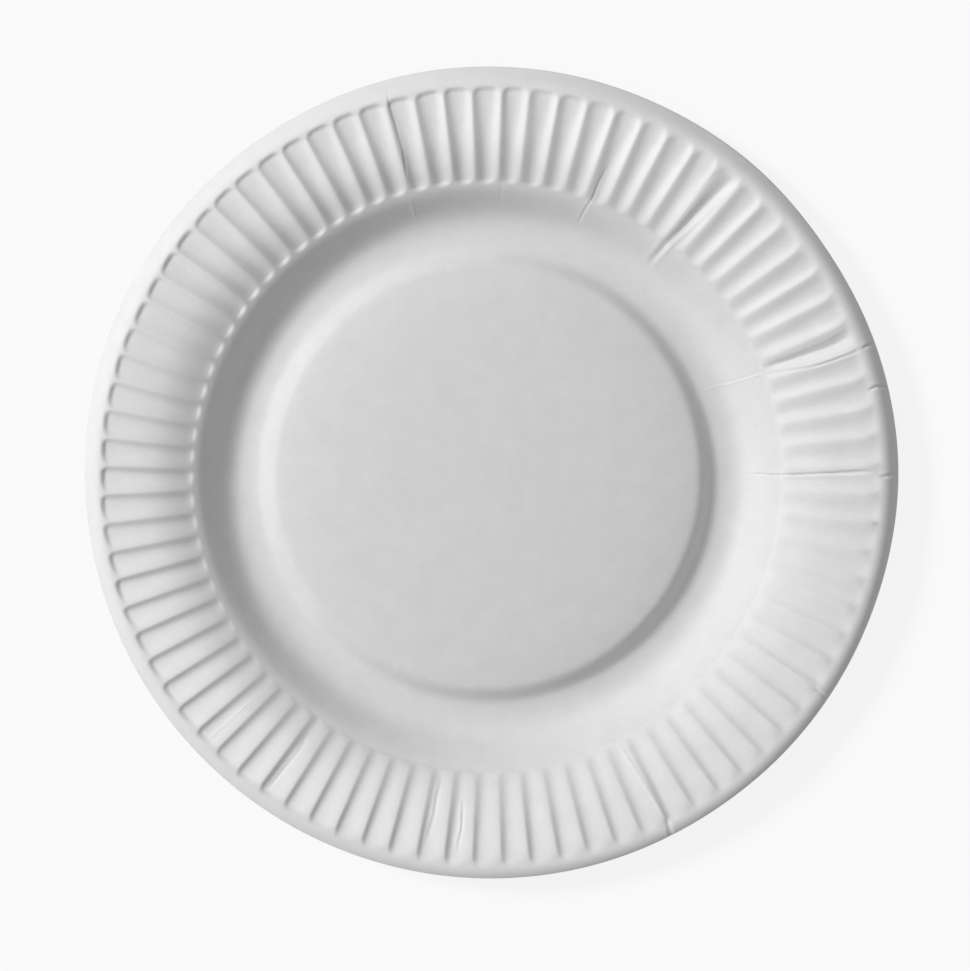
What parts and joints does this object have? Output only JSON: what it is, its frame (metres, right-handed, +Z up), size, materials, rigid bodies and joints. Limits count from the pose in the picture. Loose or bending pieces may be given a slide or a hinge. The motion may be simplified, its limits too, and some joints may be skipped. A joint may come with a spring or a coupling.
{
  "type": "paper plate",
  "caption": "Round shallow paper plate of one pressed board, with a raised middle disc, a sloping wall, a fluted rim and a turned-down lip.",
  "frame": {"origin": "middle of the trimmed outline, on the surface that the plate stands on", "axes": "+Z up out of the dish, +X to the right and +Y to the top of the plate seen from above"},
  "size_m": [0.23, 0.23, 0.0142],
  "materials": {
    "paperboard": "uncoated white paperboard, matt, lightly mottled"
  },
  "bodies": {
    "root": {"plate": "paperboard"}
  },
  "joints": []
}
